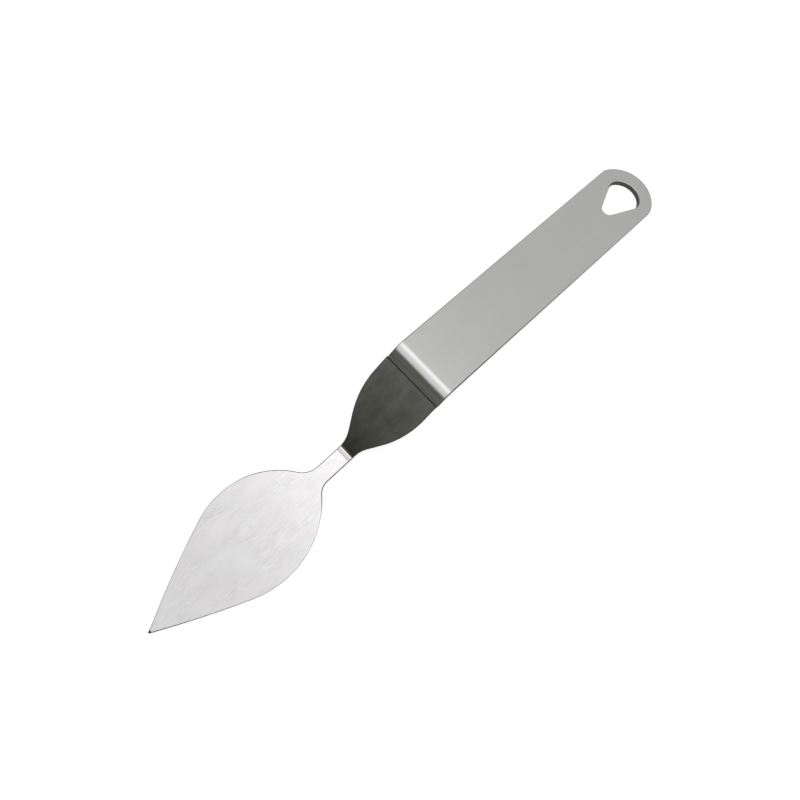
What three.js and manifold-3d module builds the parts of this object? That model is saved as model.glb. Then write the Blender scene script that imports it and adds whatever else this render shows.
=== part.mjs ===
// Cranked palette knife: a strap handle and a leaf blade, two bent steel sheets that lap on the crank
// and are joined there by four spot welds. Millimetres, +Z up, +X towards the end of the handle.

import * as THREE from 'three';
import { mergeVertices } from 'three/addons/utils/BufferGeometryUtils.js';
import Module from 'manifold-3d';

const wasm = await Module();
wasm.setup();

const { degToRad } = THREE.MathUtils;

// Sheets
const HANDLE_THICKNESS = 1.6;
const BLADE_THICKNESS = 0.9;
const LAP_GAP = 0.2; // clearance between the two sheets where they lap

// Bends, both about axes along Y
const CRANK_SLOPE = degToRad(33); // the crank rises from the level blade
const HANDLE_DROOP = degToRad(7); // the handle falls towards its end
const NECK_BEND_RADIUS = 0.8; // the blade sheet's bend, on its upper side
const HANDLE_BEND_RADIUS = 4.8; // the handle sheet's bend, on its upper side

// Lengths along the sheets' upper sides, between the apexes of the bends
const BLADE_LENGTH = 73.3;
const CRANK_LENGTH = 34.5;
const HANDLE_LENGTH = 99;
const SEAM_TO_BEND = 4.7; // the blade sheet ends this far below the handle's bend
const TAB_LENGTH = 17.5; // the handle sheet's tab reaches this far below its bend

// Handle outline, and its tab, which tapers under the blade sheet
const HANDLE_HALF_WIDTH = 10;
const END_RADIUS = 10.7;
const END_CORNER_RADIUS = 3;
const TAB_TAPER = degToRad(7);
const TAB_CORNER_RADIUS = 4;

// Hanging hole: a wedge with a round tip, closed by an arc concentric with the handle's end
const HOLE_LENGTH = 14.5;
const HOLE_HALF_ANGLE = degToRad(23.7);
const HOLE_TIP_RADIUS = 2.2;
const HOLE_ARC_RADIUS = 6.2;
const HOLE_CORNER_RADIUS = 3;
const HOLE_SIDE_SHIFT = -0.4; // the hole is punched slightly off the handle's centre line

// Blade outline: neck, fillet, belly and flank, with the angles in degrees; the left side (+Y) is a
// little fuller than the right
const NECK_HALF_WIDTH = 2.6;
const LEFT_SIDE = { neck: 8.9, filletRadius: 6.6, flare: 55.7, bellyRadius: 24.3, fall: 22.2 };
const RIGHT_SIDE = { neck: 9.6, filletRadius: 5.2, flare: 51.6, bellyRadius: 27.9, fall: 23.1 };

// Crank outline, drawn in from the handle's width to the neck's
const SHOULDER_TO_BEND = 10.2; // the sides start to draw in this far below the handle's bend
const SHOULDER_RADIUS = 30.5;
const THROAT_RADIUS = 11.5;
const SHOULDER_ANGLE = degToRad(28.5);

// Spot welds, in two rows across the lap, and the prints that the electrodes leave on the underside
const WELD_RADIUS = 1.7;
const WELD_HALF_HEIGHT = 0.5;
const WELD_CLEARANCE = 0.12;
const WELD_ROWS = [8.4, 13.4]; // distances below the handle's bend
const WELD_SIDE = 4.6;
const PRINT_RADIUS = 2.2;
const PRINT_DEPTH = 0.22;

// Worked out: the apex of the handle's bend, on its upper side, and the welds' places on the crank
const LAP = BLADE_THICKNESS + LAP_GAP;
const HANDLE_BEND = {
  x: CRANK_LENGTH * Math.cos(CRANK_SLOPE) + LAP * Math.sin(CRANK_SLOPE),
  z: CRANK_LENGTH * Math.sin(CRANK_SLOPE) - LAP * Math.cos(CRANK_SLOPE) + BLADE_THICKNESS,
};
const WELDS = WELD_ROWS.flatMap((row) => [[row, WELD_SIDE], [row, -WELD_SIDE]]);

const ARC_STEPS = 14;
const LENS_STEPS = 4;
const LENS_SIDES = 24;
const OVERRUN = 3; // cutters run this far past the edges that they don't shape

// A pen that draws straight runs and tangent arcs
class Pen {
  constructor(x, y, heading) {
    this.path = new THREE.Path();
    this.path.moveTo(x, y);
    this.x = x;
    this.y = y;
    this.heading = heading;
  }

  forward(length) {
    this.x += length * Math.cos(this.heading);
    this.y += length * Math.sin(this.heading);
    this.path.lineTo(this.x, this.y);
    return this;
  }

  face(angle) {
    this.heading += angle;
    return this;
  }

  turn(radius, angle) {
    const side = Math.sign(angle) * Math.PI / 2;
    const centerX = this.x + radius * Math.cos(this.heading + side);
    const centerY = this.y + radius * Math.sin(this.heading + side);
    const start = this.heading - side;
    this.path.absarc(centerX, centerY, radius, start, start + angle, angle < 0);
    this.heading += angle;
    this.x = centerX + radius * Math.cos(start + angle);
    this.y = centerY + radius * Math.sin(start + angle);
    return this;
  }

  turnTo(x, y) {
    const chord = Math.hypot(x - this.x, y - this.y);
    const offset = Math.atan2(y - this.y, x - this.x) - this.heading;
    const halfTurn = Math.atan2(Math.sin(offset), Math.cos(offset));
    return this.turn(chord / (2 * Math.abs(Math.sin(halfTurn))), 2 * halfTurn);
  }

  points() {
    return this.path.getPoints(ARC_STEPS);
  }
}

// A closed outline from its left side (+Y) and a right side drawn the same way, which is mirrored
function outline(left, right) {
  const mirrored = right.map((point) => new THREE.Vector2(point.x, -point.y)).reverse();
  return new THREE.Shape([...left, ...mirrored]);
}

// The side view of a sheet with one bend, from the points of its upper side and its lower side
function bentProfile({ x, z, heading, before, after, radius, bend, thickness }) {
  const tangent = radius * Math.tan(Math.abs(bend) / 2);
  const side = (startX, startZ, sideRadius) => new Pen(startX, startZ, heading)
    .forward(before - tangent)
    .turn(sideRadius, bend)
    .forward(after - tangent)
    .points();
  const lowerX = x + thickness * Math.sin(heading);
  const lowerZ = z - thickness * Math.cos(heading);
  const upper = side(x, z, radius);
  const lower = side(lowerX, lowerZ, radius + Math.sign(bend) * thickness);
  return new THREE.Shape([...upper, ...lower.reverse()]);
}

function extrude(shape, depth) {
  return new THREE.ExtrudeGeometry(shape, { depth, bevelEnabled: false, curveSegments: ARC_STEPS })
    .translate(0, 0, -depth / 2);
}

function solid(geometry) {
  geometry.deleteAttribute('normal');
  geometry.deleteAttribute('uv');
  const merged = mergeVertices(geometry);
  return new wasm.Manifold(new wasm.Mesh({
    numProp: 3,
    vertProperties: merged.getAttribute('position').array,
    triVerts: new Uint32Array(merged.index.array),
  }));
}

// A strip of sheet as wide as any outline, seen from the side as the given profile
function strip(profile) {
  return solid(extrude(profile, 6 * HANDLE_HALF_WIDTH).rotateX(Math.PI / 2));
}

// A cutter of the given outline, square to a face that climbs at slope from the point (x, z)
function cutter(shape, slope, x, z) {
  return solid(extrude(shape, 4 * OVERRUN).rotateY(-slope).translate(x, 0, z));
}

// A double-convex lens with its axis square to the crank, centred on (x, y, z)
function lens(radius, halfHeight, x, y, z) {
  const arcRadius = (radius ** 2 + halfHeight ** 2) / (2 * halfHeight);
  const halfAngle = Math.asin(radius / arcRadius);
  const profile = [];
  for (let step = 0; step <= 2 * LENS_STEPS; step += 1) {
    const fromPole = Math.min(step, 2 * LENS_STEPS - step) / LENS_STEPS;
    const height = arcRadius * Math.cos(fromPole * halfAngle) - arcRadius + halfHeight;
    const distance = fromPole === 0 ? 0 : arcRadius * Math.sin(fromPole * halfAngle);
    profile.push(new THREE.Vector2(distance, step < LENS_STEPS ? -height : height));
  }
  return new THREE.LatheGeometry(profile, LENS_SIDES)
    .rotateX(Math.PI / 2)
    .rotateY(-CRANK_SLOPE)
    .translate(x, y, z);
}

function leafSide({ neck, filletRadius, flare, bellyRadius, fall }) {
  return new Pen(OVERRUN / 2, NECK_HALF_WIDTH, Math.PI)
    .forward(OVERRUN / 2 + neck)
    .turn(filletRadius, -degToRad(flare))
    .turn(bellyRadius, degToRad(flare + fall))
    .turnTo(-BLADE_LENGTH, 0)
    .points();
}

function crankSide() {
  const drawIn = HANDLE_HALF_WIDTH - NECK_HALF_WIDTH;
  const arcs = (SHOULDER_RADIUS + THROAT_RADIUS) * (1 - Math.cos(SHOULDER_ANGLE));
  return new Pen(CRANK_LENGTH, HANDLE_HALF_WIDTH, Math.PI)
    .forward(SHOULDER_TO_BEND)
    .turn(SHOULDER_RADIUS, SHOULDER_ANGLE)
    .forward((drawIn - arcs) / Math.sin(SHOULDER_ANGLE))
    .turn(THROAT_RADIUS, -SHOULDER_ANGLE)
    .forward(OVERRUN / 2)
    .points();
}

function handleOutline() {
  const cornerY = HANDLE_HALF_WIDTH - END_CORNER_RADIUS;
  const reach = END_RADIUS - END_CORNER_RADIUS;
  const halfArc = Math.asin(cornerY / reach);
  const straight = HANDLE_LENGTH - END_RADIUS + reach * Math.cos(halfArc);
  const left = new Pen(-OVERRUN, HANDLE_HALF_WIDTH, 0)
    .forward(OVERRUN + straight)
    .turn(END_CORNER_RADIUS, halfArc - Math.PI / 2)
    .turn(END_RADIUS, -halfArc)
    .points();
  const shape = outline(left, left.slice(0, -1));
  shape.holes.push(holeOutline());
  return shape;
}

function holeOutline() {
  const arcX = HANDLE_LENGTH - END_RADIUS;
  const tipX = arcX + HOLE_ARC_RADIUS - HOLE_LENGTH + HOLE_TIP_RADIUS;
  const reach = HOLE_ARC_RADIUS - HOLE_CORNER_RADIUS;
  const sine = Math.sin(HOLE_HALF_ANGLE);
  const cosine = Math.cos(HOLE_HALF_ANGLE);
  const spread = Math.asin((HOLE_TIP_RADIUS - HOLE_CORNER_RADIUS + (arcX - tipX) * sine) / reach);
  const halfArc = HOLE_HALF_ANGLE + spread;
  const wall = (arcX - tipX) * cosine + reach * Math.cos(spread);
  const corner = Math.PI / 2 - spread;
  const startX = tipX - HOLE_TIP_RADIUS * sine;
  const startY = HOLE_SIDE_SHIFT - HOLE_TIP_RADIUS * cosine;
  return new Pen(startX, startY, -HOLE_HALF_ANGLE)
    .forward(wall)
    .turn(HOLE_CORNER_RADIUS, corner)
    .turn(HOLE_ARC_RADIUS, 2 * halfArc)
    .turn(HOLE_CORNER_RADIUS, corner)
    .forward(wall)
    .turn(HOLE_TIP_RADIUS, Math.PI - 2 * HOLE_HALF_ANGLE)
    .path;
}

function tabSide() {
  const corner = TAB_LENGTH - TAB_CORNER_RADIUS * (1 - Math.sin(TAB_TAPER));
  return new Pen(OVERRUN, HANDLE_HALF_WIDTH, Math.PI)
    .forward(OVERRUN + SEAM_TO_BEND)
    .face(TAB_TAPER)
    .forward((corner - SEAM_TO_BEND) / Math.cos(TAB_TAPER))
    .turn(TAB_CORNER_RADIUS, Math.PI / 2 - TAB_TAPER)
    .points();
}

// A point of the crank, by its distance below the handle's bend and its height above the handle
// sheet's upper side
function crankPoint(distance, height = 0) {
  return {
    x: HANDLE_BEND.x - distance * Math.cos(CRANK_SLOPE) - height * Math.sin(CRANK_SLOPE),
    z: HANDLE_BEND.z - distance * Math.sin(CRANK_SLOPE) + height * Math.cos(CRANK_SLOPE),
  };
}

function crankLens(radius, halfHeight, distance, y, height) {
  const { x, z } = crankPoint(distance, height);
  return solid(lens(radius, halfHeight, x, y, z));
}

// Open pockets that the welds sit in, half in each sheet
function weldPockets() {
  const radius = WELD_RADIUS + WELD_CLEARANCE;
  const halfHeight = WELD_HALF_HEIGHT + WELD_CLEARANCE;
  return WELDS.map(([row, y]) => crankLens(radius, halfHeight, row, y, LAP_GAP / 2));
}

function electrodePrints() {
  return WELDS.map(([row, y]) => crankLens(PRINT_RADIUS, PRINT_DEPTH, row, y, -HANDLE_THICKNESS));
}

function bladeSheet() {
  const profile = bentProfile({
    x: -BLADE_LENGTH - OVERRUN,
    z: BLADE_THICKNESS,
    heading: 0,
    before: BLADE_LENGTH + OVERRUN,
    after: CRANK_LENGTH - SEAM_TO_BEND,
    radius: NECK_BEND_RADIUS,
    bend: CRANK_SLOPE,
    thickness: BLADE_THICKNESS,
  });
  const leaf = cutter(outline(leafSide(LEFT_SIDE), leafSide(RIGHT_SIDE).slice(0, -1)), 0, 0, 0);
  const crank = cutter(outline(crankSide(), crankSide()), CRANK_SLOPE, 0, BLADE_THICKNESS);
  const sheet = strip(profile).intersect(leaf.add(crank));
  return weldPockets().reduce((piece, pocket) => piece.subtract(pocket), sheet);
}

function handleSheet() {
  const start = crankPoint(TAB_LENGTH + OVERRUN);
  const profile = bentProfile({
    x: start.x,
    z: start.z,
    heading: CRANK_SLOPE,
    before: TAB_LENGTH + OVERRUN,
    after: HANDLE_LENGTH + OVERRUN,
    radius: HANDLE_BEND_RADIUS,
    bend: -CRANK_SLOPE - HANDLE_DROOP,
    thickness: HANDLE_THICKNESS,
  });
  const strap = cutter(handleOutline(), -HANDLE_DROOP, HANDLE_BEND.x, HANDLE_BEND.z);
  const tab = cutter(outline(tabSide(), tabSide()), CRANK_SLOPE, HANDLE_BEND.x, HANDLE_BEND.z);
  const sheet = strip(profile).intersect(strap.add(tab));
  return [...weldPockets(), ...electrodePrints()].reduce((piece, cut) => piece.subtract(cut), sheet);
}

function addPiece(group, name, piece, finish) {
  const { vertProperties, triVerts } = piece.getMesh();
  const geometry = new THREE.BufferGeometry();
  geometry.setAttribute('position', new THREE.BufferAttribute(vertProperties, 3));
  geometry.setIndex(new THREE.BufferAttribute(triVerts, 1));
  geometry.computeVertexNormals();
  const mesh = new THREE.Mesh(geometry, new THREE.MeshStandardMaterial(finish));
  mesh.name = name;
  group.add(mesh);
}

const knife = new THREE.Group();
addPiece(knife, 'handle', handleSheet(), { color: 0xb3b3b0, roughness: 0.45, metalness: 1 });
addPiece(knife, 'blade', bladeSheet(), { color: 0xd8d5d4, roughness: 0.35, metalness: 1 });
WELDS.forEach(([row, y], index) => {
  const weld = crankLens(WELD_RADIUS, WELD_HALF_HEIGHT, row, y, LAP_GAP / 2);
  addPiece(knife, `spot_weld_${index + 1}`, weld, { color: 0x8c8a86, roughness: 0.6, metalness: 1 });
});

// The origin is under the middle of the knife, on the surface that the blade lies flat on
const box = new THREE.Box3().setFromObject(knife);
const middle = box.getCenter(new THREE.Vector3());
knife.position.set(-middle.x, -middle.y, -box.min.z);

export default knife;
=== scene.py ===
"""Cranked palette knife: its two steel sheets in detail, their finishes, and a small photo studio.

Each sheet is drawn flat, in millimetres: x along the knife, y across it, z up from the sheet's upper
side, and x = 0 at the apex of the sheet's bend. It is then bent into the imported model's frame, which
is in metres.
"""

import math

import bmesh
import bpy
from mathutils import Matrix, Vector


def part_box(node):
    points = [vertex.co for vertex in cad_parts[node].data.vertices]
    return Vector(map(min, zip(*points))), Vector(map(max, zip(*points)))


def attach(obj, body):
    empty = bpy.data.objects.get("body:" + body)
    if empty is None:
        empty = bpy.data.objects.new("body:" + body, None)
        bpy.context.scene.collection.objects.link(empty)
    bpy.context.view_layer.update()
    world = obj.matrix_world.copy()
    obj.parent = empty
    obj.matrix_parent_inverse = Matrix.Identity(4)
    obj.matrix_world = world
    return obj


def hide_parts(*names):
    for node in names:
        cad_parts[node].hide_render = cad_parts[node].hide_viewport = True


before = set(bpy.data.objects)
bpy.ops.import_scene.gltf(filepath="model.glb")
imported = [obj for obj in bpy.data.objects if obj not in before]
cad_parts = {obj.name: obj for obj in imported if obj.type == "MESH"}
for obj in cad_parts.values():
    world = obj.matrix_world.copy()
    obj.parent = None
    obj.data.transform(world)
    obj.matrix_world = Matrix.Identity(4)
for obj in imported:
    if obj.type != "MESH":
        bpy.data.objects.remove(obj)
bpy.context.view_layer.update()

MM = 0.001

# Sheets and bends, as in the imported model
HANDLE_THICKNESS = 1.6
BLADE_THICKNESS = 0.9
LAP_GAP = 0.2
CRANK_SLOPE = math.radians(33)
HANDLE_DROOP = math.radians(7)
NECK_BEND_RADIUS = 0.8
HANDLE_BEND_RADIUS = 4.8
BLADE_LENGTH = 73.3
CRANK_LENGTH = 34.5
HANDLE_LENGTH = 99
SEAM_TO_BEND = 4.7
TAB_LENGTH = 17.5

# Handle outline, tab and hanging hole
HANDLE_HALF_WIDTH = 10
END_RADIUS = 10.7
END_CORNER_RADIUS = 3
TAB_TAPER = math.radians(7)
TAB_CORNER_RADIUS = 4
HOLE_LENGTH = 14.5
HOLE_HALF_ANGLE = math.radians(23.7)
HOLE_TIP_RADIUS = 2.2
HOLE_ARC_RADIUS = 6.2
HOLE_CORNER_RADIUS = 3
HOLE_SIDE_SHIFT = -0.4

# Blade and crank outline; the angles of the two sides are in degrees
NECK_HALF_WIDTH = 2.6
LEFT_SIDE = {"neck": 8.9, "fillet_radius": 6.6, "flare": 55.7, "belly_radius": 24.3, "fall": 22.2}
RIGHT_SIDE = {"neck": 9.6, "fillet_radius": 5.2, "flare": 51.6, "belly_radius": 27.9, "fall": 23.1}
SHOULDER_TO_BEND = 10.2
SHOULDER_RADIUS = 30.5
THROAT_RADIUS = 11.5
SHOULDER_ANGLE = math.radians(28.5)

# Prints of the spot welds' electrodes, on the underside of the tab
WELD_ROWS = (8.4, 13.4)
WELD_SIDE = 4.6
PRINT_RADIUS = 2.2
PRINT_DEPTH = 0.22
PRINT_SIDES = 48
PRINT_RINGS = (1, 0.93, 0.8, 0.6, 0.3)

# Groove that the press left across the neck, just ahead of the bend
GROOVE_PLACE = -1.02
GROOVE_WIDTH = 0.32
GROOVE_DEPTH = 0.14
GROOVE_REACH = 2  # how many widths it runs to each side of its middle
GROOVE_SLICES = 8  # to each side

# Rounded cut edges: how far the rounding reaches in from the outline, and how far down the cut
HANDLE_EDGE = {"inset": 0.3, "height": 0.3, "lean": 0}
HOLE_EDGE = {"inset": 0.15, "height": 0.15, "lean": 0.3}  # the punch left the hole narrower below
BLADE_EDGE = {"inset": 0.25, "height": 0.25, "lean": 0}
SEAM_CORNER = 0.8  # how close to the seam the side's rounding starts to give way to it
SEAM_EDGE_SHARE = 0.12  # the blade sheet's end, at the seam, is hardly rounded
TIP_RADIUS = 0.15
TIP_HALF_ANGLE = math.radians(22.5)
TIP_STEPS = 8
TIP_EDGE_SHARE = 0.85  # how far in an edge may reach at the tip, as a share of the tip's radius
TIP_EDGE_GROWTH = 0.33  # how much further in it may reach for each millimetre away from the tip
EDGE_STEPS = 5
# The dark of the cut edges is partly painted shade.
CUT_POWER = 1.5  # how late in the rounding the dark of the cut comes
SUPPORT_INSET = 0.25  # a flat margin inside the rounding, which keeps the flat sides' shading flat

# How dark the cut edges are, as painted shade that stands in for the dark the edges reflect and for the
# shadow in the seam and the hanging hole, given as (x, shift) along each side: -1 is bright steel, 0 a
# dark cut under a bright rounding, and 0.9 dark right over the rounding; 1 takes in the flat beside it
# too
SEAM_PLACE = CRANK_LENGTH - SEAM_TO_BEND
TIP_CUT_SHADE = ((-BLADE_LENGTH, 1), (1.2 - BLADE_LENGTH, 1))
CRANK_CUT_SHADE = ((0, 0.7), (SEAM_PLACE, 0.9))
BLADE_LEFT_CUT_SHADE = (*TIP_CUT_SHADE, (1.5 - BLADE_LENGTH, -0.8), (-32, -0.6), (-25, 0.9), (-10, 0.9), *CRANK_CUT_SHADE)
BLADE_RIGHT_CUT_SHADE = (*TIP_CUT_SHADE, (-62, 0.5), (-50, 0.2), (-38, -0.8), (-20, -0.9), (-14, 0.9), *CRANK_CUT_SHADE)
HANDLE_CUT_SHADE = ((-3, 0.7), (-1, 0), (80, 0), (84, -0.08), (HANDLE_LENGTH, -0.08))

# Stain and painted shade on the crank, the shade standing in for the dark the crank reflects: where it
# starts after the neck's bend, how far up it the throat reaches, and how much light is left at the neck
# and beyond the throat
STAIN_AND_SHADE_START = 0.55
STAIN_AND_SHADE_EDGE = 0.2
THROAT_LENGTH = 9
THROAT_SHADE_TONE = 0.38
CRANK_SHADE_TONE = 0.93

# Press lines on the handle's strip: where they fade out, before the apex of the bend
PRESS_LINES_FADE = (-1.8, -1.2)

# Roughness of the steel; rings and dots show in the renders where it crosses about 0.275
SMOOTHEST = 0.278
ROUGHEST = 0.3

# Cut edges: from how dark a cut it shows, its grey, which is partly painted shade, and how much rougher
# than the sheet it gets
CUT_START = 0.3
CUT_SHADE_GREY = 0.02
CUT_ROUGHENING = 0.3

# Pairs of colours that each metal drifts between
BLADE_TINTS = ((0.70, 0.675, 0.70, 1), (0.685, 0.678, 0.688, 1))
HANDLE_TINTS = ((0.612, 0.607, 0.614, 1), (0.597, 0.599, 0.59, 1))
WELD_TINTS = ((0.32, 0.31, 0.30, 1), (0.45, 0.44, 0.42, 1))

# Fineness of the sheets
ARC_CHORD = 0.45
ARC_ANGLE = math.radians(5)
BEND_STEPS = 28
BEND_MARGIN = 0.3
STATION_SPACING = 3
SLICE_TOLERANCE = 1e-5

# Camera, close above the neck; the angles are those of the frame's views
CAMERA_AZIMUTH = -53.5
CAMERA_ELEVATION = 76.56
CAMERA_ROLL = 10.29
CAMERA_AIM = Vector((-6.63, -1.14, 10)) * MM
CAMERA_DISTANCE = 191 * MM
CAMERA_LENS = 30.07
CAMERA_SENSOR = 36

# Studio: how bright the room is to the knife, and the backdrop to the camera
ROOM_LIGHT = 0.33
ROOM_COLOR = (0.985, 1, 0.955, 1)
BACKDROP_LIGHT = 0.97

# Lights over the knife: tilt from straight up towards +X in degrees, distance, size along the tilt and
# across it in metres, and radiance
LIGHTS = {
    "key": {"tilt": -9, "distance": 1.0, "size": (1.3, 1.4), "radiance": 0.69},
    "crown": {"tilt": 6.2, "distance": 0.97, "size": (0.36, 1.0), "radiance": 0.66},
    "side": {"tilt": 42, "distance": 1.0, "size": (0.78, 1.4), "radiance": 0.36},
}

# Dark flag that the crank reflects, and the floor
FLAG_TILT = -70
FLAG_DISTANCE = 0.6
FLAG_SIZE = (0.62, 2.4)
FLAG_COLOR = (0.03, 0.035, 0.012)
FLOOR_SIZE = (6, 6)
FLOOR_DROP = 0.05 * MM
FLOOR_COLOR = (0.9, 0.9, 0.9)
FLOOR_GLOW = 0.62


# ---------- Flat outlines ----------


class Pen:
    """Draws straight runs and tangent arcs, and keeps their points."""

    def __init__(self, x, y, heading):
        self.points = [Vector((x, y))]
        self.heading = heading

    def forward(self, length):
        step = Vector((math.cos(self.heading), math.sin(self.heading))) * length
        self.points.append(self.points[-1] + step)
        return self

    def face(self, angle):
        self.heading += angle
        return self

    def turn(self, radius, angle):
        steps = math.ceil(max(abs(angle) / ARC_ANGLE, radius * abs(angle) / ARC_CHORD))
        side = self.heading + math.copysign(math.pi / 2, angle)
        out = Vector((-math.cos(side), -math.sin(side))) * radius
        center = self.points[-1] - out
        for step in range(1, steps + 1):
            self.points.append(center + Matrix.Rotation(angle * step / steps, 2) @ out)
        self.heading += angle
        return self

    def turn_to(self, x, y):
        chord = Vector((x, y)) - self.points[-1]
        offset = math.atan2(chord.y, chord.x) - self.heading
        half_turn = math.atan2(math.sin(offset), math.cos(offset))
        return self.turn(chord.length / (2 * abs(math.sin(half_turn))), 2 * half_turn)


def mirrored(points):
    """The same side on the other side of the centre line, and run backwards."""
    return [Vector((point.x, -point.y)) for point in reversed(points)]


def blade_side(neck, fillet_radius, flare, belly_radius, fall):
    draw_in = HANDLE_HALF_WIDTH - NECK_HALF_WIDTH
    arcs = (SHOULDER_RADIUS + THROAT_RADIUS) * (1 - math.cos(SHOULDER_ANGLE))
    pen = Pen(SEAM_PLACE, HANDLE_HALF_WIDTH, math.pi)
    pen.forward(SEAM_CORNER)
    pen.forward(SHOULDER_TO_BEND - SEAM_TO_BEND - SEAM_CORNER)
    pen.turn(SHOULDER_RADIUS, SHOULDER_ANGLE)
    pen.forward((draw_in - arcs) / math.sin(SHOULDER_ANGLE))
    pen.turn(THROAT_RADIUS, -SHOULDER_ANGLE)
    pen.forward(pen.points[-1].x + neck)
    pen.turn(fillet_radius, -math.radians(flare))
    pen.turn(belly_radius, math.radians(flare + fall))
    pen.turn_to(-BLADE_LENGTH, 0)
    return [point for point in pen.points if point.y > TIP_RADIUS]


def tip_center():
    return -BLADE_LENGTH + TIP_RADIUS / math.sin(TIP_HALF_ANGLE)


def blade_outline():
    half_turn = math.pi / 2 - TIP_HALF_ANGLE
    tip = []
    for step in range(TIP_STEPS + 1):
        angle = math.pi - half_turn + 2 * half_turn * step / TIP_STEPS
        out = Vector((math.cos(angle), math.sin(angle))) * TIP_RADIUS
        tip.append(Vector((tip_center(), 0)) + out)
    return blade_side(**LEFT_SIDE) + tip + mirrored(blade_side(**RIGHT_SIDE))


def handle_outline():
    corner_y = HANDLE_HALF_WIDTH - END_CORNER_RADIUS
    reach = END_RADIUS - END_CORNER_RADIUS
    half_arc = math.asin(corner_y / reach)
    straight = HANDLE_LENGTH - END_RADIUS + reach * math.cos(half_arc)
    tab_corner = TAB_LENGTH - TAB_CORNER_RADIUS * (1 - math.sin(TAB_TAPER))
    pen = Pen(HANDLE_LENGTH, 0, math.pi / 2)
    pen.turn(END_RADIUS, half_arc)
    pen.turn(END_CORNER_RADIUS, math.pi / 2 - half_arc)
    pen.forward(straight + SEAM_TO_BEND)
    pen.face(TAB_TAPER)
    pen.forward((tab_corner - SEAM_TO_BEND) / math.cos(TAB_TAPER))
    pen.turn(TAB_CORNER_RADIUS, math.pi / 2 - TAB_TAPER)
    return pen.points + mirrored(pen.points)[:-1]


def hole_outline():
    """The hanging hole, drawn clockwise, so that the sheet is on its left as on an outer outline."""
    arc_x = HANDLE_LENGTH - END_RADIUS
    tip_x = arc_x + HOLE_ARC_RADIUS - HOLE_LENGTH + HOLE_TIP_RADIUS
    reach = HOLE_ARC_RADIUS - HOLE_CORNER_RADIUS
    sine = math.sin(HOLE_HALF_ANGLE)
    cosine = math.cos(HOLE_HALF_ANGLE)
    swing = math.asin((HOLE_TIP_RADIUS - HOLE_CORNER_RADIUS + (arc_x - tip_x) * sine) / reach)
    wall = (arc_x - tip_x) * cosine + reach * math.cos(swing)
    corner = math.pi / 2 - swing
    start_y = HOLE_SIDE_SHIFT - HOLE_TIP_RADIUS * cosine
    pen = Pen(tip_x - HOLE_TIP_RADIUS * sine, start_y, -HOLE_HALF_ANGLE)
    pen.forward(wall)
    pen.turn(HOLE_CORNER_RADIUS, corner)
    pen.turn(HOLE_ARC_RADIUS, 2 * (HOLE_HALF_ANGLE + swing))
    pen.turn(HOLE_CORNER_RADIUS, corner)
    pen.forward(wall)
    pen.turn(HOLE_TIP_RADIUS, math.pi - 2 * HOLE_HALF_ANGLE)
    return list(reversed(pen.points[:-1]))


# ---------- Flat sheets with rounded edges ----------


def inward(points):
    """For each point of a closed outline, the way into the sheet, mitred between its two edges."""
    ways = []
    for index, point in enumerate(points):
        before = (point - points[index - 1]).normalized()
        after = (points[(index + 1) % len(points)] - point).normalized()
        both = before + after
        ways.append(Vector((-both.y, both.x)) / (1 + before.dot(after)))
    return ways


def blade_room(point, reach):
    """How much of an edge's reach is used: all of it, except at the blade's tip and the seam."""
    if point.x > SEAM_PLACE - SEAM_CORNER / 2:
        return SEAM_EDGE_SHARE
    fitting = TIP_EDGE_SHARE * TIP_RADIUS + TIP_EDGE_GROWTH * max(0, point.x - tip_center())
    return min(1, fitting / reach)


def edge_profile(edge, thickness):
    """An edge's section from the upper side to the lower: how far in, from which side's height, how far
    up from it, and how dark a cut, from 0 to 1, a dark that is partly painted shade.
    """
    upper = [(edge["inset"] + SUPPORT_INSET, 0, 0, 0)]
    for step in range(EDGE_STEPS + 1):
        angle = math.pi / 2 * step / EDGE_STEPS
        inset = edge["inset"] * (1 - math.sin(angle))
        drop = edge["height"] * (1 - math.cos(angle))
        upper.append((inset, 0, -drop, (step / EDGE_STEPS) ** CUT_POWER))
    lean = edge["lean"]
    lower = [(inset - lean, -thickness, -rise, cut) for inset, _, rise, cut in reversed(upper)]
    return upper + lower


def new_sheet():
    """An empty sheet, whose vertices will know how dark a cut they are on, a dark that is partly
    painted shade.
    """
    mesh = bmesh.new()
    mesh.verts.layers.float.new("cut_edge_and_shade")
    return mesh


def join_rings(mesh, rings):
    for outer, inner in zip(rings, rings[1:]):
        for index in range(len(outer)):
            corners = (outer[index - 1], outer[index], inner[index], inner[index - 1])
            mesh.faces.new(corners)


def add_edge(mesh, outline, edge, thickness, room=None):
    """The rounded edge along an outline; gives its innermost rings, above and below."""
    cut_shade_layer = mesh.verts.layers.float["cut_edge_and_shade"]
    ways = inward(outline)
    profile = edge_profile(edge, thickness)
    reach = profile[0][0]
    rings = []
    for inset, face, rise, cut in profile:
        ring = []
        for point, way in zip(outline, ways):
            share = room(point, reach) if room else 1
            place = point + way * inset * share
            vertex = mesh.verts.new((place.x, place.y, face + rise * share))
            vertex[cut_shade_layer] = cut
            ring.append(vertex)
        rings.append(ring)
    join_rings(mesh, rings)
    return rings[0], rings[-1]


def add_print(mesh, x, y, height):
    """The shallow round print of an electrode; gives its rim."""
    sphere_radius = (PRINT_RADIUS**2 + PRINT_DEPTH**2) / (2 * PRINT_DEPTH)
    rings = []
    for fraction in (1 + SUPPORT_INSET / PRINT_RADIUS, *PRINT_RINGS):
        radius = PRINT_RADIUS * fraction
        depth = PRINT_DEPTH - sphere_radius + math.sqrt(sphere_radius**2 - radius**2)
        ring = []
        for side in range(PRINT_SIDES):
            angle = 2 * math.pi * side / PRINT_SIDES
            across = y + radius * math.sin(angle)
            ring.append(mesh.verts.new((x + radius * math.cos(angle), across, height + max(0, depth))))
        rings.append(ring)
    join_rings(mesh, rings)
    mesh.faces.new(rings[-1])
    return rings[0]


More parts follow.
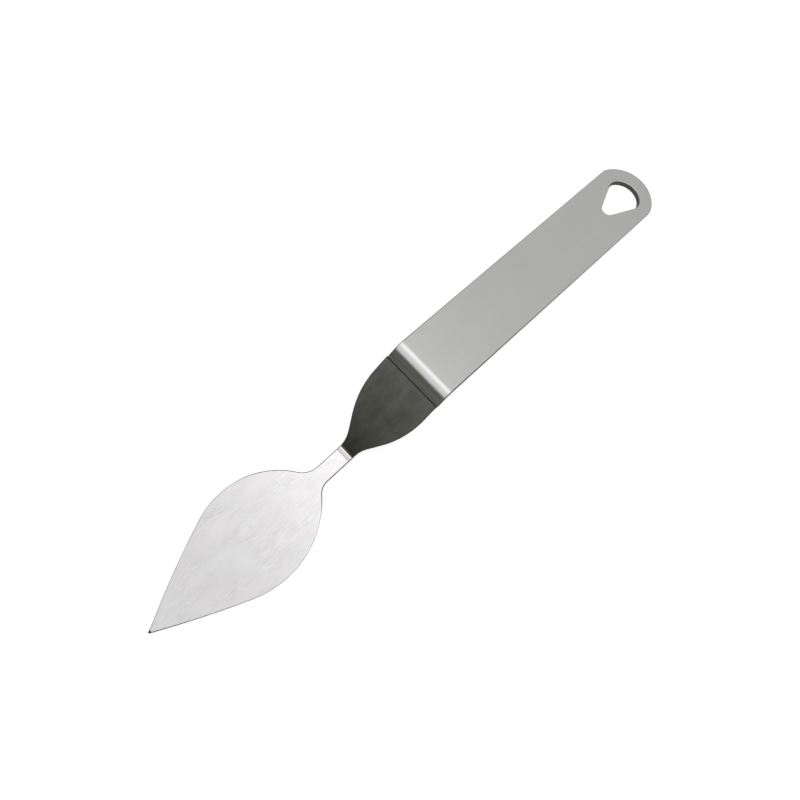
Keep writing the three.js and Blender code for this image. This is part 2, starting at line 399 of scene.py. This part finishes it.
def between(table, x):
    """The value at x in a table of (x, value) pairs, in a straight line from each pair to the next."""
    for (start, first), (end, second) in zip(table, table[1:]):
        if x <= end:
            share = max(0, (x - start) / (end - start))
            return first + (second - first) * share
    return table[-1][1]


def paint_shade_on_cuts(mesh, left, right):
    """Paints shade along each side's cut edges: shifts how dark the cut is along each side."""
    cut_shade_layer = mesh.verts.layers.float["cut_edge_and_shade"]
    for vertex in mesh.verts:
        side = left if vertex.co.y > 0 else right
        shift = between(side, vertex.co.x)
        if vertex[cut_shade_layer] > 0 or shift >= 1:
            vertex[cut_shade_layer] = min(1, max(0, vertex[cut_shade_layer] + shift))


def fill_between(mesh, rings):
    """Fills a flat side of the sheet, inside its outer ring and outside the others."""
    edges = [mesh.edges.get((a, b)) for ring in rings for a, b in zip(ring, ring[1:] + ring[:1])]
    bmesh.ops.triangle_fill(mesh, use_beauty=True, edges=edges)


def spaced(start, end):
    """Places between two ends, a station's spacing apart."""
    count = round(abs(end - start) / STATION_SPACING)
    return [start + (end - start) * step / count for step in range(1, count)]


def slice_at(mesh, place):
    everything = mesh.verts[:] + mesh.edges[:] + mesh.faces[:]
    plane = {"plane_co": (place, 0, 0), "plane_no": (1, 0, 0)}
    bmesh.ops.bisect_plane(mesh, geom=everything, dist=SLICE_TOLERANCE, **plane)


def slice_across(mesh, radius, bend):
    """Cuts across the sheet: close together round its bend, and far apart elsewhere."""
    tangent = radius * math.tan(abs(bend) / 2)
    close = [tangent * (2 * step / BEND_STEPS - 1) for step in range(BEND_STEPS + 1)]
    close = [close[0] - BEND_MARGIN, *close, close[-1] + BEND_MARGIN]
    places = [vertex.co.x for vertex in mesh.verts]
    for place in spaced(min(places), close[0]) + close + spaced(close[-1], max(places)):
        slice_at(mesh, place)


def press_groove(mesh):
    """Sinks the groove into the upper side."""
    for step in range(-GROOVE_SLICES, GROOVE_SLICES + 1):
        slice_at(mesh, GROOVE_PLACE + GROOVE_WIDTH * GROOVE_REACH * step / GROOVE_SLICES)
    for vertex in mesh.verts:
        if vertex.co.z > -BLADE_THICKNESS / 2:
            distance = (vertex.co.x - GROOVE_PLACE) / GROOVE_WIDTH
            vertex.co.z -= GROOVE_DEPTH * math.exp(-(distance**2))


def flat_blade():
    mesh = new_sheet()
    upper, lower = add_edge(mesh, blade_outline(), BLADE_EDGE, BLADE_THICKNESS, blade_room)
    # Painted shade along the blade's cut edges, at the seam and at the tip
    paint_shade_on_cuts(mesh, BLADE_LEFT_CUT_SHADE, BLADE_RIGHT_CUT_SHADE)
    fill_between(mesh, [upper])
    fill_between(mesh, [lower])
    slice_across(mesh, NECK_BEND_RADIUS, CRANK_SLOPE)
    press_groove(mesh)
    return mesh


def flat_handle():
    mesh = new_sheet()
    upper, lower = add_edge(mesh, handle_outline(), HANDLE_EDGE, HANDLE_THICKNESS)
    hole_upper, hole_lower = add_edge(mesh, hole_outline(), HOLE_EDGE, HANDLE_THICKNESS)
    # Painted shade along the handle's cut edges and in the hanging hole
    paint_shade_on_cuts(mesh, HANDLE_CUT_SHADE, HANDLE_CUT_SHADE)
    prints = [
        add_print(mesh, -row, side, -HANDLE_THICKNESS)
        for row in WELD_ROWS
        for side in (WELD_SIDE, -WELD_SIDE)
    ]
    fill_between(mesh, [upper, hole_upper])
    fill_between(mesh, [lower, hole_lower, *prints])
    slice_across(mesh, HANDLE_BEND_RADIUS, CRANK_SLOPE + HANDLE_DROOP)
    return mesh


# ---------- Bent sheets ----------


def turned(along, up, slope):
    """A step along a slope and square up from it, in the frame's axes."""
    cosine = math.cos(slope)
    sine = math.sin(slope)
    return Vector((along * cosine - up * sine, 0, along * sine + up * cosine))


def bent(place, apex, before, bend, radius):
    """A point of a flat sheet after bending; before is the slope ahead of the bend."""
    tangent = radius * math.tan(abs(bend) / 2)
    if abs(place.x) >= tangent:
        slope = before if place.x < 0 else before + bend
        along = place.x
        foot = apex
        arm = place.z
    else:
        slope = before + bend * (place.x + tangent) / (2 * tangent)
        side = math.copysign(radius, bend)
        along = 0
        foot = apex + turned(-tangent, side, before)
        arm = place.z - side
    return foot + turned(along, arm, slope) + Vector((0, place.y, 0))


def finish_sheet(mesh, name, node, material, apex, before, bend, radius):
    """Bends a flat sheet into place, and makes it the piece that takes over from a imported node."""
    for vertex in mesh.verts:
        vertex.co = bent(vertex.co, apex, before, bend, radius) * MM
    bmesh.ops.recalc_face_normals(mesh, faces=mesh.faces)
    for face in mesh.faces:
        face.smooth = True
    data = bpy.data.meshes.new(name)
    mesh.to_mesh(data)
    mesh.free()
    data.materials.append(material)
    piece = bpy.data.objects.new(name, data)
    bpy.context.scene.collection.objects.link(piece)
    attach(piece, "root")
    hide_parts(node)


def neck_apex():
    """The apex of the neck's bend, on the blade's upper side, in the frame's axes."""
    blade_low = Vector(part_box("blade")[0]) / MM
    handle_low, handle_high = (Vector(corner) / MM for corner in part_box("handle"))
    middle = (handle_low.y + handle_high.y) / 2
    return Vector((blade_low.x + BLADE_LENGTH, middle, blade_low.z + BLADE_THICKNESS))


def handle_apex():
    """The apex of the handle's bend, on the handle's upper side."""
    return neck_apex() + turned(CRANK_LENGTH, -BLADE_THICKNESS - LAP_GAP, CRANK_SLOPE)


def add_blade():
    finish_sheet(
        flat_blade(),
        name="blade_sheet",
        node="blade",
        material=blade_steel(),
        apex=neck_apex(),
        before=0,
        bend=CRANK_SLOPE,
        radius=NECK_BEND_RADIUS,
    )


def add_handle():
    finish_sheet(
        flat_handle(),
        name="handle_sheet",
        node="handle",
        material=handle_steel(),
        apex=handle_apex(),
        before=CRANK_SLOPE,
        bend=-CRANK_SLOPE - HANDLE_DROOP,
        radius=HANDLE_BEND_RADIUS,
    )


# ---------- Finishes ----------


def add_node(tree, kind, inputs=(), **settings):
    """A shader node; inputs are (socket, value or link) pairs."""
    node = tree.nodes.new("ShaderNode" + kind)
    for name, value in settings.items():
        setattr(node, name, value)
    for name, value in inputs:
        if isinstance(value, bpy.types.NodeSocket):
            tree.links.new(value, node.inputs[name])
        else:
            node.inputs[name].default_value = value
    return node


def noise(tree, scale, detail=2, roughness=0.5):
    """Noise in the object's own space, with its features a millimetre over scale in size."""
    place = add_node(tree, "TexCoord").outputs["Object"]
    size = tuple(value / MM for value in scale)
    mapped = add_node(tree, "Mapping", [("Vector", place), ("Scale", size)])
    inputs = [
        ("Vector", mapped.outputs["Vector"]),
        ("Scale", 1),
        ("Detail", detail),
        ("Roughness", roughness),
    ]
    return add_node(tree, "TexNoise", inputs).outputs["Fac"]


def spread(tree, value, low, high, to_low, to_high):
    """A value stretched from one range to another, and held inside it."""
    inputs = [
        ("Value", value),
        ("From Min", low),
        ("From Max", high),
        ("To Min", to_low),
        ("To Max", to_high),
    ]
    return add_node(tree, "MapRange", inputs).outputs["Result"]


def mix(tree, factor, first, second, blend="MIX"):
    inputs = [(0, factor), (6, first), (7, second)]
    return add_node(tree, "Mix", inputs, data_type="RGBA", blend_type=blend).outputs[2]


def multiply(tree, tone, factor):
    return mix(tree, 1, tone, factor, blend="MULTIPLY")


def math_node(tree, operation, first, second):
    inputs = [(0, first), (1, second)]
    return add_node(tree, "Math", inputs, operation=operation).outputs[0]


def grey(value):
    return (value, value, value, 1)


def place_along(tree):
    """How far along the knife, in the frame's axes."""
    place = add_node(tree, "TexCoord").outputs["Object"]
    return add_node(tree, "SeparateXYZ", [("Vector", place)]).outputs["X"]


def add_relief(tree, shader, height, strength, depth):
    inputs = [("Height", height), ("Strength", strength), ("Distance", depth * MM)]
    bump = add_node(tree, "Bump", inputs)
    tree.links.new(bump.outputs["Normal"], shader.inputs["Normal"])


def new_material(name):
    material = bpy.data.materials.new(name)
    material.use_nodes = True
    tree = material.node_tree
    shader = tree.nodes["Principled BSDF"]
    shader.inputs["Metallic"].default_value = 1
    shader.inputs["Specular IOR Level"].default_value = 0.1
    return material, tree, shader


def cut_edge_and_shade(tree, shader, tone, rough):
    """Bright steel, which turns rough and dull where the sheet was cut, and dark there with painted
    shade.
    """
    cut = add_node(tree, "Attribute", attribute_name="cut_edge_and_shade").outputs["Fac"]
    sheared_and_shaded = spread(tree, cut, CUT_START, 1, 0, 1)
    # Near-black painted shade on the cut edges, mixed into the steel's colour
    tree.links.new(mix(tree, sheared_and_shaded, tone, grey(CUT_SHADE_GREY)), shader.inputs["Base Color"])
    tree.links.new(spread(tree, sheared_and_shaded, 0, 1, 1, 0), shader.inputs["Metallic"])
    added = spread(tree, sheared_and_shaded, 0, 1, 0, CUT_ROUGHENING)
    tree.links.new(math_node(tree, "ADD", rough, added), shader.inputs["Roughness"])


def crank_stain_and_shade(tree):
    """The crank is blotched and painted with shade for the dark it reflects, darkest where it meets the
    neck; the leaf is clean.
    """
    along = place_along(tree)
    neck = neck_apex().x * MM
    blotch = noise(tree, (0.2, 0.5, 0.2), detail=4, roughness=0.6)
    throat_shade = spread(tree, along, neck, neck + THROAT_LENGTH * MM, THROAT_SHADE_TONE, CRANK_SHADE_TONE)
    stained_and_shaded = math_node(tree, "MULTIPLY", throat_shade, spread(tree, blotch, 0.3, 0.7, 0.83, 1.12))
    start = neck + STAIN_AND_SHADE_START * MM
    return mix(tree, spread(tree, along, start, start + STAIN_AND_SHADE_EDGE * MM, 0, 1), grey(1), stained_and_shaded)


def blade_steel():
    material, tree, shader = new_material("blade_brushed_steel")
    hairline = noise(tree, (0.06, 3, 0.06), detail=2)
    streak = noise(tree, (0.4, 2.2, 0.4), detail=3, roughness=0.6)
    patch = noise(tree, (0.075, 0.15, 0.075), detail=1)
    cloud = noise(tree, (0.1, 0.17, 0.1), detail=4, roughness=0.6)
    tint = noise(tree, (0.1, 0.09, 0.1), detail=1)
    tone = mix(tree, spread(tree, tint, 0.35, 0.65, 0, 1), *BLADE_TINTS)
    tone = multiply(tree, tone, spread(tree, cloud, 0.25, 0.75, 0.92, 1.03))
    scratched = multiply(tree, tone, spread(tree, streak, 0.3, 0.7, 0.87, 1.09))
    tone = mix(tree, spread(tree, patch, 0.4, 0.65, 0.1, 1), tone, scratched)
    # Painted shade on the crank, for the dark it reflects, with its blotches
    tone = multiply(tree, tone, crank_stain_and_shade(tree))
    cut_edge_and_shade(tree, shader, tone, spread(tree, cloud, 0.3, 0.7, SMOOTHEST, ROUGHEST))
    add_relief(tree, shader, hairline, strength=0.14, depth=0.01)
    return material


def press_lines(tree):
    """Fine lines along the handle's bend, on the strip that shows between the bend and the blade."""
    along = place_along(tree)
    bend = handle_apex().x * MM
    line = noise(tree, (1.6, 0.05, 1.6), detail=2)
    full, gone = (bend + place * MM for place in PRESS_LINES_FADE)
    strip = spread(tree, along, full, gone, 1, 0)
    return mix(tree, strip, grey(1), spread(tree, line, 0.35, 0.65, 0.74, 1.08))


def handle_steel():
    material, tree, shader = new_material("handle_satin_steel")
    grain = noise(tree, (1.2, 2.5, 1.2), detail=2)
    ripple = noise(tree, (0.12, 0.3, 0.12), detail=2)
    cloud = noise(tree, (0.07, 0.1, 0.07), detail=2)
    streak = noise(tree, (0.12, 1.2, 0.12), detail=3)
    tone = mix(tree, spread(tree, cloud, 0.3, 0.7, 0, 1), *HANDLE_TINTS)
    tone = multiply(tree, tone, spread(tree, streak, 0.3, 0.7, 0.985, 1.01))
    tone = multiply(tree, tone, press_lines(tree))
    cut_edge_and_shade(tree, shader, tone, spread(tree, grain, 0.3, 0.7, SMOOTHEST, ROUGHEST))
    add_relief(tree, shader, ripple, strength=0.6, depth=0.05)
    return material


def weld_metal():
    material, tree, shader = new_material("weld_nugget")
    ripple = noise(tree, (2, 2, 2), detail=4)
    tone = mix(tree, ripple, *WELD_TINTS)
    tree.links.new(tone, shader.inputs["Base Color"])
    tree.links.new(spread(tree, ripple, 0.3, 0.7, 0.5, 0.7), shader.inputs["Roughness"])
    return material


def finish_welds():
    """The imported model's own welds stay, and only get their metal."""
    metal = weld_metal()
    for name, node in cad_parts.items():
        if name.startswith("spot_weld"):
            node.data.materials[0] = metal


# ---------- Studio ----------


def add_plane(name, size, matrix):
    mesh = bmesh.new()
    bmesh.ops.create_grid(mesh, x_segments=1, y_segments=1, size=0.5)
    data = bpy.data.meshes.new(name)
    mesh.to_mesh(data)
    mesh.free()
    plane = bpy.data.objects.new(name, data)
    plane.matrix_world = matrix @ Matrix.Diagonal((*size, 1, 1))
    bpy.context.scene.collection.objects.link(plane)
    return plane


def paper(name, color, glow):
    material = bpy.data.materials.new(name)
    material.use_nodes = True
    shader = material.node_tree.nodes["Principled BSDF"]
    shader.inputs["Base Color"].default_value = (*color, 1)
    shader.inputs["Roughness"].default_value = 0.95
    shader.inputs["Specular IOR Level"].default_value = 0
    shader.inputs["Emission Color"].default_value = (*color, 1)
    shader.inputs["Emission Strength"].default_value = glow
    return material


def add_floor():
    floor = add_plane("floor", FLOOR_SIZE, Matrix.Translation((0, 0, -FLOOR_DROP)))
    floor.data.materials.append(paper("floor_paper", FLOOR_COLOR, FLOOR_GLOW))


def facing(tilt, distance):
    """A place over the knife, tilted from straight up towards +X in degrees, facing the knife."""
    return Matrix.Rotation(math.radians(tilt), 4, "Y") @ Matrix.Translation((0, 0, distance))


def add_softbox(name, matrix, size, radiance):
    light = bpy.data.lights.new(name, "AREA")
    light.shape = "RECTANGLE"
    light.size, light.size_y = size
    light.energy = radiance * math.pi * size[0] * size[1]
    lamp = bpy.data.objects.new(name, light)
    lamp.matrix_world = matrix
    bpy.context.scene.collection.objects.link(lamp)


def add_world():
    """An even pale room, with a brighter backdrop behind the floor."""
    world = bpy.data.worlds.new("studio")
    world.use_nodes = True
    tree = world.node_tree
    seen = add_node(tree, "LightPath").outputs["Is Camera Ray"]
    background = tree.nodes["Background"]
    strength = spread(tree, seen, 0, 1, ROOM_LIGHT, BACKDROP_LIGHT)
    tree.links.new(strength, background.inputs["Strength"])
    tree.links.new(mix(tree, seen, ROOM_COLOR, grey(1)), background.inputs["Color"])
    bpy.context.scene.world = world


def add_lights():
    for name, light in LIGHTS.items():
        matrix = facing(light["tilt"], light["distance"])
        add_softbox(name, matrix, light["size"], light["radiance"])
    flag = add_plane("flag", FLAG_SIZE, facing(FLAG_TILT, FLAG_DISTANCE))
    flag.data.materials.append(paper("flag_cloth", FLAG_COLOR, 0))
    flag.visible_camera = False


def add_camera():
    azimuth = math.radians(CAMERA_AZIMUTH)
    elevation = math.radians(CAMERA_ELEVATION)
    level = Vector((math.sin(azimuth), -math.cos(azimuth), 0)) * math.cos(elevation)
    back = level + Vector((0, 0, math.sin(elevation)))
    data = bpy.data.cameras.new("camera")
    data.lens = CAMERA_LENS
    data.sensor_width = CAMERA_SENSOR
    data.clip_start = 10 * MM
    camera = bpy.data.objects.new("camera", data)
    aim = back.to_track_quat("Z", "Y").to_matrix().to_4x4()
    roll = Matrix.Rotation(math.radians(CAMERA_ROLL), 4, "Z")
    camera.matrix_world = Matrix.Translation(CAMERA_AIM + back * CAMERA_DISTANCE) @ aim @ roll
    bpy.context.scene.collection.objects.link(camera)
    bpy.context.scene.camera = camera


add_camera()
add_blade()
add_handle()
finish_welds()
add_floor()
add_world()
add_lights()
bpy.context.scene.view_settings.view_transform = "Standard"
